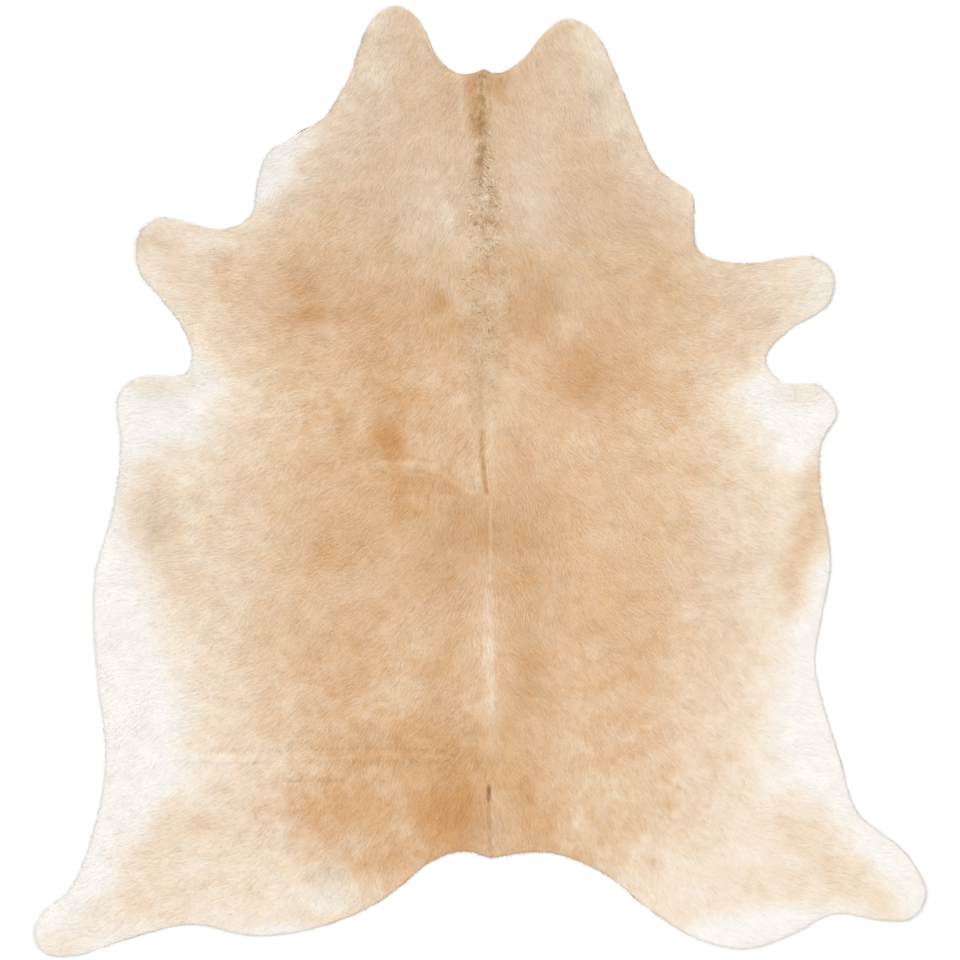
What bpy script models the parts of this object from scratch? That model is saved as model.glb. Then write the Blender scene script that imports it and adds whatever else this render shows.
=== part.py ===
"""A cowhide rug: one whole hair-on hide, trimmed to its natural outline and lying hair side up.

Metres, +Z up. The spine runs along Y, with the neck at +Y and the tail at -Y, so the animal's left side
is at -X. The origin is on the floor, under the middle of the hide's box. The underside is flat at z = 0,
but for a few places at the edge that stand a few millimetres off the floor.
"""

import bmesh
import bpy
import numpy as np
from mathutils import Vector
from mathutils.geometry import delaunay_2d_cdt

MM = 0.001

# Driving sizes of the sheet, in mm
BACK_THICKNESS = 4.2  # skin and the coat that lies on it, over the back
RIM_THICKNESS = 2.2  # at the trimmed edge
RIM_TAPER = 60.0  # how far in from the edge the sheet reaches its whole thickness
RIM_ROWS = (16.0, 46.0)  # rows of points that follow the edge, by their distance from it
EDGE_STEP = 18.0  # between points along the edge
ROW_STEP = 36.0  # between points along a row that follows the edge or a crease
FIELD_PITCH = 48.0  # between points over the rest of the hide

# The trimmed edge, walked from the notch of the neck down the left side to the tail and up the right side.
# A row is one part of the edge. Its places are (out, up): out from the spine line, with the right side
# plus, and up from the root of the tail towards the neck, in mm.
LEFT_EDGE = (
    ("neck notch", ((-5, 1825), (-30, 1815), (-70, 1815), (-115, 1855))),
    ("neck lobe", ((-138, 1908), (-165, 1948), (-210, 1970), (-265, 1940), (-320, 1805), (-375, 1715))),
    ("shoulder", ((-445, 1670), (-505, 1630), (-530, 1560), (-545, 1485), (-610, 1455))),
    ("foreleg", ((-745, 1480), (-800, 1445), (-805, 1360), (-755, 1295), (-700, 1220))),
    ("armpit", ((-680, 1155), (-695, 1120), (-795, 1115))),
    ("elbow flap", ((-850, 1070), (-845, 950))),
    ("flank", ((-865, 800), (-905, 650), (-900, 420), (-880, 235), (-905, 75))),
    ("hind foot", ((-965, -75), (-1020, -120), (-1045, -175), (-1020, -220), (-945, -225))),
    ("thigh", ((-835, -190), (-685, -155), (-535, -180), (-385, -160), (-245, -100))),
    ("rump", ((-120, -5), (-50, 15), (10, 0))),
)
RIGHT_EDGE = (
    ("rump", ((75, 10), (155, 10), (275, -40), (375, -120))),
    ("thigh", ((480, -185), (595, -210), (700, -180), (805, -130), (910, -145))),
    ("hind foot", ((980, -140), (1015, -85), (970, 10))),
    ("flank", ((855, 110), (820, 220), (760, 445), (775, 560), (795, 685), (770, 870))),
    ("elbow flap", ((775, 960), (810, 1030), (770, 1090))),
    ("armpit", ((675, 1105), (645, 1155))),
    ("foreleg", ((695, 1215), (790, 1280), (800, 1350), (750, 1390), (585, 1375))),
    ("shoulder", ((490, 1405), (480, 1470), (475, 1535), (400, 1590))),
    ("neck lobe", ((345, 1700), (295, 1825), (245, 1915), (185, 1940), (130, 1905))),
    ("neck notch", ((85, 1850), (35, 1815), (15, 1815))),
)

# Creases pressed into the upper side: name, half width, rise (minus is a trough) and the line, in mm
CREASES = (
    ("mane ridge", 26, 1.5, ((-10, 1790), (-10, 1500), (-10, 1220))),
    ("slit of the back", 12, -1.4, ((-11, 970), (-8, 900), (-4, 850))),
    ("fold down the back", 16, 1.5, ((4, 815), (6, 700), (4, 560), (5, 400), (7, 270))),
    ("line to the tail", 10, -0.9, ((6, 165), (6, 120), (9, 30))),
    ("fold across the rump", 14, 1.0, ((-680, 235), (-450, 235), (-250, 240), (-110, 235))),
    ("fold behind the shoulder", 14, 0.9, ((-240, 910), (-122, 903), (-80, 868), (-30, 842))),
)

# Where the skin is thicker or thinner: name, place (out, up), reach (across, along) and rise, in mm
BROAD_FORMS = (
    ("withers", (0, 1250), (260, 300), 0.8),
    ("left shoulder", (-330, 1150), (220, 260), 0.6),
    ("right shoulder", (330, 1130), (220, 260), 0.6),
    ("left hip", (-280, 230), (260, 240), 0.8),
    ("right hip", (290, 230), (260, 240), 0.7),
    ("left belly", (-720, 600), (200, 400), -0.7),
    ("right belly", (640, 600), (180, 380), -0.7),
)

# Where the edge stands off the floor: name, place (out, up), reach and lift, in mm
LIFTED_PLACES = (
    ("left neck lobe", (-210, 1975), 140, 3.0),
    ("right neck lobe", (185, 1945), 130, 2.5),
    ("left fore foot", (-815, 1400), 150, 4.0),
    ("right fore foot", (815, 1320), 150, 3.5),
    ("left elbow flap", (-860, 1030), 140, 2.5),
    ("right elbow flap", (815, 1030), 130, 3.0),
    ("left flank", (-915, 520), 190, 2.5),
    ("right flank", (800, 690), 170, 2.0),
    ("left thigh", (-540, -190), 150, 2.0),
    ("right thigh", (600, -220), 160, 2.5),
    ("left hind foot", (-1045, -195), 150, 3.5),
    ("right hind foot", (1020, -95), 150, 4.0),
)

HAIR_COLOUR = (0.70, 0.47, 0.27, 1.0)
HAIR_ROUGHNESS = 0.75


def clear_scene():
    """Removes whatever the scene holds."""
    for thing in list(bpy.data.objects):
        bpy.data.objects.remove(thing)


def curve_through(places, step, closed):
    """Points about a step apart on a smooth curve through the places, evenly rounded at each of them."""
    places = np.array(places, float)
    count = len(places)
    if closed:
        around = [places[[i - 1, i, (i + 1) % count, (i + 2) % count]] for i in range(count)]
    else:
        ends = np.vstack([2 * places[0] - places[1], places, 2 * places[-1] - places[-2]])
        around = [ends[i : i + 4] for i in range(count - 1)]
    curve = []
    for before, start, end, after in around:
        gaps = [np.linalg.norm(b - a) ** 0.5 for a, b in ((before, start), (start, end), (end, after))]
        t0, t1, t2, t3 = np.cumsum([0.0] + gaps)
        steps = max(1, round(float(np.linalg.norm(end - start)) / step))
        t = np.linspace(t1, t2, steps, endpoint=False)[:, None]
        first = ((t1 - t) * before + (t - t0) * start) / (t1 - t0)
        middle = ((t2 - t) * start + (t - t1) * end) / (t2 - t1)
        last = ((t3 - t) * end + (t - t2) * after) / (t3 - t2)
        early = ((t2 - t) * first + (t - t0) * middle) / (t2 - t0)
        late = ((t3 - t) * middle + (t - t1) * last) / (t3 - t1)
        curve.append(((t2 - t) * early + (t - t1) * late) / (t2 - t1))
    if not closed:
        curve.append(places[-1:])
    return np.vstack(curve)


def distance_to_line(points, line, closed):
    """How far each point lies from a line of straight runs."""
    starts = line if closed else line[:-1]
    runs = (np.roll(line, -1, axis=0) if closed else line[1:]) - starts
    from_start = points[:, None] - starts
    share = np.clip((from_start * runs).sum(2) / (runs * runs).sum(1), 0.0, 1.0)
    return np.linalg.norm(from_start - share[..., None] * runs, axis=2).min(1)


def is_inside(points, edge):
    """Whether each point lies inside the closed edge, by the crossings of a ray towards +X."""
    x, y = points[:, 0, None], points[:, 1, None]
    (ax, ay), (bx, by) = edge.T, np.roll(edge, -1, axis=0).T
    spans = (ay > y) != (by > y)
    rise = np.where(by == ay, 1.0, by - ay)
    crossing = ax + (y - ay) / rise * (bx - ax)
    return (spans & (x < crossing)).sum(1) % 2 == 1


def row_inside_edge(edge, inset):
    """A row of points that follows the edge at one distance in from it."""
    along = np.roll(edge, -1, axis=0) - np.roll(edge, 1, axis=0)
    inward = np.stack([-along[:, 1], along[:, 0]], axis=1)
    inward /= np.linalg.norm(inward, axis=1, keepdims=True)
    every = max(1, round(ROW_STEP / EDGE_STEP))
    row = (edge + inward * inset)[::every]
    clear = distance_to_line(row, edge, closed=True) > 0.9 * inset
    return row[clear & is_inside(row, edge)]


def rows_along_crease(line, half_width):
    """Rows of points on a crease's line and at both its flanks."""
    along = np.gradient(line, axis=0)
    across = np.stack([-along[:, 1], along[:, 0]], axis=1)
    across /= np.linalg.norm(across, axis=1, keepdims=True)
    return np.vstack([line + across * side * half_width for side in (-1.0, -0.5, 0.0, 0.5, 1.0)])


def field_points(edge, creases, rows):
    """Staggered rows of points over the rest of the hide, clear of the rows that are there already."""
    low, high = edge.min(0), edge.max(0)
    points = []
    for number, up in enumerate(np.arange(low[1], high[1], FIELD_PITCH * 0.75**0.5)):
        start = low[0] + (number % 2) * FIELD_PITCH / 2
        points += [(out, up) for out in np.arange(start, high[0], FIELD_PITCH)]
    points = np.array(points)
    points = points[is_inside(points, edge)]
    points = points[distance_to_line(points, edge, closed=True) > RIM_ROWS[-1] + FIELD_PITCH * 0.5]
    for line, half_width in creases:
        points = points[distance_to_line(points, line, closed=False) > half_width + FIELD_PITCH * 0.4]
    nearest = np.linalg.norm(points[:, None] - rows, axis=2).min(1)
    return points[nearest > FIELD_PITCH * 0.4]


def apart_from(points, others, least):
    """The points that lie at least so far from each of the others."""
    return points[np.linalg.norm(points[:, None] - others, axis=2).min(1) > least]


def bump(distance):
    """A soft hill: 1 at the middle, 0 from a distance of 1 on, level at both."""
    return np.clip(1.0 - distance**2, 0.0, None) ** 2


def thickness_at(points, edge, creases):
    """The sheet's thickness: full over the back, thin at the edge, with its creases."""
    inset = np.clip(distance_to_line(points, edge, closed=True) / RIM_TAPER, 0.0, 1.0)
    full = inset * (2.0 - inset)
    thickness = np.full(len(points), BACK_THICKNESS - RIM_THICKNESS)
    for _, place, reach, rise in BROAD_FORMS:
        thickness += rise * bump(np.linalg.norm((points - place) / reach, axis=1))
    for (line, half_width), (_, _, rise, _) in zip(creases, CREASES):
        thickness += rise * bump(distance_to_line(points, line, closed=False) / half_width)
    return RIM_THICKNESS + thickness * full


def lift_at(points):
    """How far the sheet stands off the floor."""
    lift = np.zeros(len(points))
    for _, place, reach, rise in LIFTED_PLACES:
        lift = np.maximum(lift, rise * bump(np.linalg.norm(points - np.array(place), axis=1) / reach))
    return lift


def triangles_within(edge, inner):
    """Triangles over the inside of the edge, through all its points and the inner ones."""
    loop = list(range(len(edge)))
    flat = [Vector(p) for p in np.vstack([edge, inner])]
    inside_only = 1
    merge_distance = 1e-4
    found = delaunay_2d_cdt(flat, [], [loop], inside_only, merge_distance)
    points = np.array([tuple(p) for p in found[0]])
    return points, [tuple(face) for face in found[2]]


def rim_edges(triangles):
    """The edges that only one triangle has, each in that triangle's direction."""
    directed = {(t[i], t[(i + 1) % 3]) for t in triangles for i in range(3)}
    return sorted(pair for pair in directed if pair[::-1] not in directed)


def closed_sheet(name, points, triangles, under, over):
    """One closed body: the same triangles below and above, joined round the rim."""
    shape = bmesh.new()
    lower = [shape.verts.new((*place, z)) for place, z in zip(points, under)]
    upper = [shape.verts.new((*place, z)) for place, z in zip(points, over)]
    for a, b, c in triangles:
        shape.faces.new((upper[a], upper[b], upper[c]))
        shape.faces.new((lower[c], lower[b], lower[a]))
    rim = [
        shape.faces.new((lower[a], lower[b], upper[b], upper[a]))
        for a, b in rim_edges(triangles)
    ]
    bmesh.ops.triangulate(shape, faces=rim)
    mesh = bpy.data.meshes.new(name)
    shape.to_mesh(mesh)
    shape.free()
    mesh.shade_smooth()
    mesh.set_sharp_from_angle(angle=0.6)
    sheet = bpy.data.objects.new(name, mesh)
    bpy.context.scene.collection.objects.link(sheet)
    return sheet


def hair_material():
    """Short tan hair, which is dull."""
    material = bpy.data.materials.new("tan_hair")
    material.use_nodes = True
    shader = material.node_tree.nodes["Principled BSDF"]
    shader.inputs["Base Color"].default_value = HAIR_COLOUR
    shader.inputs["Roughness"].default_value = HAIR_ROUGHNESS
    shader.inputs["Metallic"].default_value = 0.0
    material.diffuse_color = HAIR_COLOUR
    return material


def build_hide():
    """The whole hide as one sheet, with the middle of its box over the origin."""
    corners = [place for _, places in LEFT_EDGE + RIGHT_EDGE for place in places]
    edge = curve_through(corners, EDGE_STEP, closed=True)
    creases = [
        (curve_through(line, ROW_STEP, closed=False), half_width)
        for _, half_width, _, line in CREASES
    ]
    along_creases = np.vstack([rows_along_crease(*crease) for crease in creases])
    along_edge = np.vstack([row_inside_edge(edge, inset) for inset in RIM_ROWS])
    along_edge = apart_from(along_edge, along_creases, RIM_ROWS[0])
    rows = np.vstack([along_creases, along_edge])
    inner = np.vstack([rows, field_points(edge, creases, rows)])
    points, triangles = triangles_within(edge, inner)
    under = lift_at(points)
    over = under + thickness_at(points, edge, creases)
    middle = (edge.min(0) + edge.max(0)) / 2
    hide = closed_sheet("hide", (points - middle) * MM, triangles, under * MM, over * MM)
    hide.data.materials.append(hair_material())


clear_scene()
build_hide()
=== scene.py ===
# %% [markdown]
# # A cowhide rug
#
# A cowhide rug is one whole skin, tanned with its hair on and trimmed to its natural outline. It lies flat,
# hair side up. The CAD model holds the true outline and thickness as one thin solid. This lesson dresses
# it: a leather skin with its folds, a coat of short lying hair, the rough mane along the neck, and hair
# that hangs over the trimmed edge. The CAD solid stays the measure for all of them.

import bpy
import numpy as np
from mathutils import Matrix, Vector
from mathutils.bvhtree import BVHTree


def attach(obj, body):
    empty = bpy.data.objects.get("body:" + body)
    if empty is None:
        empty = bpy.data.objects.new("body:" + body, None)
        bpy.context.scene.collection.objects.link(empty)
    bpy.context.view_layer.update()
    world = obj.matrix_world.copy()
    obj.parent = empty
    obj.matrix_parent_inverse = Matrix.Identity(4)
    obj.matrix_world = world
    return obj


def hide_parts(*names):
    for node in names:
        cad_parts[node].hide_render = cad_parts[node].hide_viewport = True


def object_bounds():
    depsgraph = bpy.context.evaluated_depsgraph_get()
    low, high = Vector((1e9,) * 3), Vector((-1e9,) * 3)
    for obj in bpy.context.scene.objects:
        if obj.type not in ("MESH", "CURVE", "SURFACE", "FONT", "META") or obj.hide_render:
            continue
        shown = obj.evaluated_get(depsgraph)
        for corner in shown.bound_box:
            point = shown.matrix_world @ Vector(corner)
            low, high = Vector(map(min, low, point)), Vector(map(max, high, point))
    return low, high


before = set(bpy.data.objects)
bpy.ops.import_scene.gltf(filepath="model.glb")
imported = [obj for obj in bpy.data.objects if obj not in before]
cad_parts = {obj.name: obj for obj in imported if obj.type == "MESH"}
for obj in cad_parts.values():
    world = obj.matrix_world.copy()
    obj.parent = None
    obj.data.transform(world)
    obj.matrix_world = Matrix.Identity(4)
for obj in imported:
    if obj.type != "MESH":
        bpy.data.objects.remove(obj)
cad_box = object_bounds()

print("CAD box in metres:", [round(x, 3) for corner in cad_box for x in corner])

# %% [markdown]
# A furrier places every mark on a hide by two sizes: how far out it lies from the spine line, and how far
# up it lies from the root of the tail towards the neck. The tables below do the same, in millimetres, with
# the animal's left side minus. Two helpers turn metres in the frame into such places and back.

# %% Places on the hide
MM = 0.001
SPINE_X = 15.0  # the spine line, right of the middle of the hide's box
TAIL_Y = -871.0  # the root of the tail, below the middle of the box


def on_hide(points):
    """Places (out, up) in mm of points in metres."""
    return np.asarray(points)[:, :2] / MM - (SPINE_X, TAIL_Y)


def in_frame(places):
    """Points (x, y) in metres of places in mm."""
    return (np.asarray(places, float) + (SPINE_X, TAIL_Y)) * MM


print("neck at y =", in_frame([(0, 1815)])[0, 1].round(3))

# %% [markdown]
# Nothing on a hide is even, so most values below are stirred by a soft noise. Blender has noise nodes, but
# the hair needs the same values while its mesh is made. A small noise in numpy gives them for a whole
# array of places at once: random values on a turned lattice, blended smoothly in between.

# %% Soft noise and soft hills
LATTICE = 256  # random values each way, before they repeat
LATTICE_TURN = np.radians(31.0)
WANDER_SIZES = (130.0, 38.0)  # mm, of the wide and of the narrow wandering
WANDER_SEEDS = (11, 21)  # for out and for up


def soft_noise(places, size, seed):
    """Smooth unevenness from -1 to 1, with hills about size mm across."""
    values = np.random.default_rng(seed).uniform(-1.0, 1.0, (LATTICE, LATTICE))
    cosine, sine = np.cos(LATTICE_TURN), np.sin(LATTICE_TURN)
    cell = places @ np.array([(cosine, sine), (-sine, cosine)]) / size
    low = np.floor(cell).astype(int)
    share = cell - low
    share = share * share * (3.0 - 2.0 * share)
    x0, y0 = (low % LATTICE).T
    x1, y1 = ((low + 1) % LATTICE).T
    right, up = share.T
    lower = values[x0, y0] * (1.0 - right) + values[x1, y0] * right
    upper = values[x0, y1] * (1.0 - right) + values[x1, y1] * right
    return lower * (1.0 - up) + upper * up


def hill(distance):
    """1 at the middle, 0 from a distance of 1 on, level at both."""
    return np.clip(1.0 - distance**2, 0.0, None) ** 2


def spot(places, middle, reach):
    """A soft hill around a place that reaches so far across and along."""
    return hill(np.linalg.norm((places - middle) / reach, axis=1))


def wandered(places, wide, narrow):
    """Places moved about unevenly, so that what is looked up there gets an uneven outline."""
    wide_size, narrow_size = WANDER_SIZES
    moves = [
        wide * soft_noise(places, wide_size, seed) + narrow * soft_noise(places, narrow_size, seed + 1)
        for seed in WANDER_SEEDS
    ]
    return places + np.stack(moves, axis=1)


print("a hill's height halfway down its side:", round(float(hill(0.5)), 2))

# %% [markdown]
# The coat is tan along the back and pales to cream and white towards the belly and the legs. One number
# holds that: the depth of its colour, from 0 for white to 1.2 for the deepest caramel. The table gives, for
# sections from the neck to the hocks, how far out on each side the coat is still tan, where it is cream,
# and where it is white.

# %% How far the tan reaches
TAN_DEPTH, CREAM_DEPTH, WHITE_DEPTH = 0.60, 0.305, 0.0
DEEPEST = 1.2  # the deepest caramel
# name, up, reach of (tan, cream, white) on the left, and on the right
COAT_SECTIONS = (
    ("poll", 1950, (60, 320, 470), (50, 270, 430)),
    ("neck", 1750, (110, 380, 470), (60, 330, 470)),
    ("neck base", 1560, (250, 440, 530), (260, 440, 600)),
    ("shoulder", 1400, (430, 700, 960), (380, 580, 900)),
    ("forelegs", 1290, (500, 690, 840), (430, 660, 850)),
    ("armpit", 1170, (460, 640, 730), (410, 640, 740)),
    ("elbow pit", 1070, (440, 550, 640), (400, 530, 620)),
    ("elbow", 1000, (430, 590, 700), (390, 570, 680)),
    ("chest", 880, (440, 660, 890), (380, 640, 860)),
    ("ribs", 700, (400, 700, 870), (380, 640, 790)),
    ("belly", 500, (400, 665, 795), (400, 615, 735)),
    ("flank", 300, (410, 615, 730), (370, 575, 700)),
    ("thigh", 140, (430, 590, 740), (340, 550, 715)),
    ("rump", 0, (310, 500, 890), (200, 380, 895)),
    ("hocks", -120, (60, 300, 940), (60, 270, 940)),
)


def depth_by_section(places):
    """The coat's depth of colour before its patches."""
    out, up = places.T
    rows = sorted(COAT_SECTIONS, key=lambda row: row[1])
    heights = [row[1] for row in rows]
    to_tan, to_cream, to_white = (
        np.where(
            out < 0.0,
            np.interp(up, heights, [left[shade] for _, _, left, _ in rows]),
            np.interp(up, heights, [right[shade] for _, _, _, right in rows]),
        )
        for shade in range(3)
    )
    away = np.abs(out)
    past_tan = np.clip((away - to_tan) / (to_cream - to_tan), 0.0, 1.0)
    past_cream = np.clip((away - to_cream) / (to_white - to_cream), 0.0, 1.0)
    return TAN_DEPTH - (TAN_DEPTH - CREAM_DEPTH) * past_tan - (CREAM_DEPTH - WHITE_DEPTH) * past_cream


print("depth 600 mm out at the ribs:", depth_by_section(np.array([(-600.0, 700.0)])).round(2))

# %% [markdown]
# On top of that lie soft patches: the caramel of the rump, an orange spot behind the left shoulder, smudges
# over the shoulders and ribs, and paler places on the neck, the loins and the thighs. Each is a soft hill,
# which deepens the colour or, with a minus, pales it.

# %% Patches of the coat
# name, place (out, up), reach (across, along), turn in degrees, rise of the depth
PATCHES = (
    ("orange spot", (-234, 970), (55, 78), 35, 0.27),
    ("around the spot", (-248, 942), (90, 85), 0, 0.14),
    ("below the spot", (-240, 868), (115, 55), 0, 0.14),
    ("smudge below the spot", (-215, 838), (90, 65), 20, 0.16),
    # painted shade: deepens the coat just below the shoulder fold, together with the line for the shade
    # below it
    ("along the shoulder fold", (-150, 890), (110, 65), -15, 0.12),
    ("left shoulder", (-435, 1290), (95, 130), 15, 0.13),
    ("left shoulder's speck", (-418, 1234), (55, 45), 0, 0.34),
    ("left withers", (-230, 1280), (270, 120), -8, 0.15),
    ("left withers' speck", (-130, 1285), (45, 50), 0, 0.20),
    ("left shoulder blade", (-255, 1130), (100, 190), 0, 0.10),
    ("left arm", (-620, 1335), (110, 60), 0, 0.12),
    ("left fore toe", (-750, 1430), (110, 60), 20, 0.10),
    ("left chest streak", (-338, 1005), (45, 85), 0, 0.18),
    ("left blade low", (-200, 1062), (70, 80), 0, 0.17),
    ("left shoulder's second speck", (-330, 1244), (75, 40), 0, 0.16),
    ("left shoulder's top", (-590, 1393), (150, 42), 0, 0.06),
    ("left withers low", (-100, 1203), (105, 65), 0, 0.15),
    ("right side of the withers", (62, 1252), (42, 60), 0, 0.17),
    ("left chest", (-370, 890), (100, 80), 0, 0.10),
    ("left ribs", (-310, 740), (150, 140), 0, 0.12),
    ("left ribs near the spine", (-175, 802), (70, 35), 0, 0.25),
    ("pale left loin", (-180, 690), (65, 45), 0, -0.15),
    ("left ribs low", (-385, 678), (150, 75), 0, 0.12),
    ("left ribs' streak", (-575, 852), (95, 32), -15, 0.08),
    ("left loin", (-66, 775), (130, 130), 10, 0.25),
    ("left loin low", (-100, 640), (120, 140), 20, 0.19),
    ("left back low", (-85, 455), (75, 100), 0, 0.14),
    ("left flank's middle", (-310, 430), (160, 130), 0, 0.07),
    ("rump caramel", (-92, 185), (165, 290), 12, 0.25),
    ("rump's deepest", (-80, 85), (125, 100), 0, 0.22),
    ("left hip", (-320, 130), (130, 120), 0, 0.10),
    ("left hip's top", (-280, 245), (165, 70), 0, 0.19),
    ("right withers", (128, 1290), (90, 110), 0, 0.30),
    ("right withers low", (95, 1200), (105, 52), 0, 0.20),
    ("right shoulder blade", (235, 1120), (130, 110), 0, 0.20),
    ("right shoulder", (300, 1215), (140, 130), 30, 0.08),
    ("right shoulder low", (340, 1080), (140, 80), 0, 0.10),
    ("right withers' edge", (180, 1155), (130, 48), 12, 0.14),
    ("right blade's low speck", (232, 1088), (50, 80), 0, 0.11),
    ("right withers' top", (70, 1390), (65, 50), 0, 0.16),
    ("right shoulder's top", (262, 1350), (65, 50), 0, 0.18),
    ("right armpit's patch", (460, 1075), (75, 80), 0, 0.11),
    ("right of the slit", (78, 920), (105, 95), 0, 0.12),
    ("right chest's top", (505, 910), (80, 75), 0, 0.14),
    ("right arm", (410, 1300), (170, 130), 0, 0.06),
    ("right armpit", (620, 1215), (130, 70), 35, 0.12),
    ("right loin", (90, 775), (190, 140), 0, 0.22),
    ("right loin low", (80, 625), (95, 80), 0, 0.18),
    ("right back", (75, 530), (85, 260), 0, 0.15),
    ("right back low", (105, 385), (95, 150), 0, 0.16),
    ("above the rump", (40, 275), (140, 55), 0, 0.13),
    ("right ribs", (310, 670), (150, 120), 0, 0.09),
    ("right flank", (240, 555), (90, 75), 0, 0.08),
    ("right flank's streak", (335, 515), (120, 90), 10, 0.11),
    ("right of the tail", (95, 100), (130, 150), 0, 0.16),
    ("right of the rump", (75, 220), (90, 100), 0, 0.12),
    ("right belly edge", (762, 800), (75, 230), -12, 0.42),
    ("right belly spot", (705, 670), (80, 130), 0, 0.18),
    ("right belly's lower spot", (725, 595), (70, 100), 0, 0.21),
    ("left flap streak", (-765, 795), (90, 140), -8, 0.23),
    ("left belly spot", (-742, 722), (90, 75), 0, 0.12),
    ("left belly speck", (-710, 645), (75, 70), 0, 0.16),
    ("left thigh", (-690, 90), (130, 75), -20, 0.20),
    ("left hock", (-775, -5), (130, 110), 20, 0.18),
    ("left hock low", (-720, -85), (190, 80), 8, 0.13),
    ("left hind foot", (-850, -130), (160, 80), 15, 0.16),
    ("left toe", (-980, -195), (90, 60), 0, 0.18),
    ("right thigh", (735, 80), (190, 110), -40, 0.26),
    ("right hock", (850, -55), (170, 90), -35, 0.25),
    ("right toe", (930, -110), (80, 50), -35, 0.10),
    ("left flap", (-760, 1085), (130, 45), 0, 0.12),
    ("right flap", (740, 1070), (110, 45), 0, 0.10),
    ("mane's top", (-10, 1790), (85, 80), 0, 0.11),
    ("right of the mane's top", (26, 1773), (45, 52), 0, 0.27),
    ("mane", (-24, 1700), (44, 190), 0, 0.06),
    ("neck's left edge", (-478, 1592), (90, 195), -38, -0.30),
    ("left thigh's edge", (-470, -180), (190, 55), 0, -0.26),
    ("right thigh's edge", (620, -190), (300, 85), 0, -0.32),
    ("neck's right edge", (262, 1862), (80, 110), 0, -0.20),
    ("right neck's edge", (310, 1725), (70, 90), 0, -0.12),
    ("left lobe's edge", (-240, 1945), (80, 70), 0, -0.17),
    ("left neck's edge above", (-320, 1780), (60, 90), 0, -0.08),
    ("left of the mane", (-170, 1620), (80, 110), 0, -0.08),
    ("above the left foreleg", (-620, 1432), (150, 45), 0, -0.12),
    ("pale neck left", (-130, 1535), (165, 190), 0, -0.16),
    ("pale neck right", (110, 1550), (110, 220), 0, -0.14),
    ("pale chest", (-300, 1030), (60, 70), 0, -0.11),
    ("pale left ribs", (-530, 910), (60, 60), 0, -0.10),
    ("pale flank", (-182, 360), (85, 85), 0, -0.14),
    ("pale right hip's top", (215, 262), (75, 45), 0, -0.08),
    ("pale right loin", (300, 365), (110, 60), 0, -0.14),
    ("pale left thigh's top", (-560, 215), (170, 75), 0, -0.13),
    ("pale smudge", (-370, -75), (110, 70), 10, -0.24),
    ("pale right hip", (200, 92), (45, 60), 0, -0.15),
    ("pale between the hips", (-195, 60), (50, 90), 0, -0.14),
    ("pale left hip", (-475, 105), (150, 130), 0, -0.18),
    ("pale left hip low", (-290, 40), (150, 60), 0, -0.12),
    ("pale right thigh", (475, 145), (110, 80), 20, -0.15),
    ("pale right elbow", (705, 935), (85, 50), 0, -0.15),
    ("pale beside the fold", (50, 430), (35, 55), 0, -0.15),
    ("pale left of the strip", (-86, 1502), (55, 80), 0, -0.12),
    ("pale right of the strip", (98, 1530), (40, 115), 0, -0.14),
    ("pale strip", (10, 1540), (32, 130), 0, -0.10),
    ("pale left lobe's base", (-270, 1815), (65, 50), 0, -0.12),
    ("pale right flank's edge", (640, 170), (55, 80), 0, -0.14),
    ("pale left elbow", (-650, 955), (80, 50), 0, -0.17),
    ("right elbow's tan", (565, 990), (60, 60), 0, 0.09),
    ("pale hip", (-212, 133), (80, 55), 0, -0.17),
    ("pale right hip's middle", (265, 147), (170, 90), 0, -0.22),
    ("pale right rump", (240, 60), (130, 60), 0, -0.14),
    ("pale left thigh", (-432, 215), (85, 90), 0, -0.15),
    ("right hock low", (695, -65), (150, 75), -8, 0.16),
    ("above the left hip", (-345, 335), (85, 42), 0, 0.10),
    ("pale above the left hock", (-455, 20), (55, 50), 0, -0.12),
    ("right neck's low edge", (458, 1518), (65, 90), 0, -0.10),
    ("left neck's speck", (-386, 1640), (50, 50), 0, -0.09),
    ("pale right chest", (375, 992), (85, 50), 0, -0.08),
    ("pale left withers", (-72, 1260), (60, 38), 0, -0.10),
)


def depth_by_patches(places):
    """What the patches add to the coat's depth of colour."""
    depth = np.zeros(len(places))
    for _, place, reach, turn, rise in PATCHES:
        across, along = (places - place).T
        cosine, sine = np.cos(np.radians(turn)), np.sin(np.radians(turn))
        turned = np.stack([across * cosine + along * sine, along * cosine - across * sine])
        depth += rise * hill(np.hypot(turned[0] / reach[0], turned[1] / reach[1]))
    return depth


print("patches:", len(PATCHES))
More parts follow.
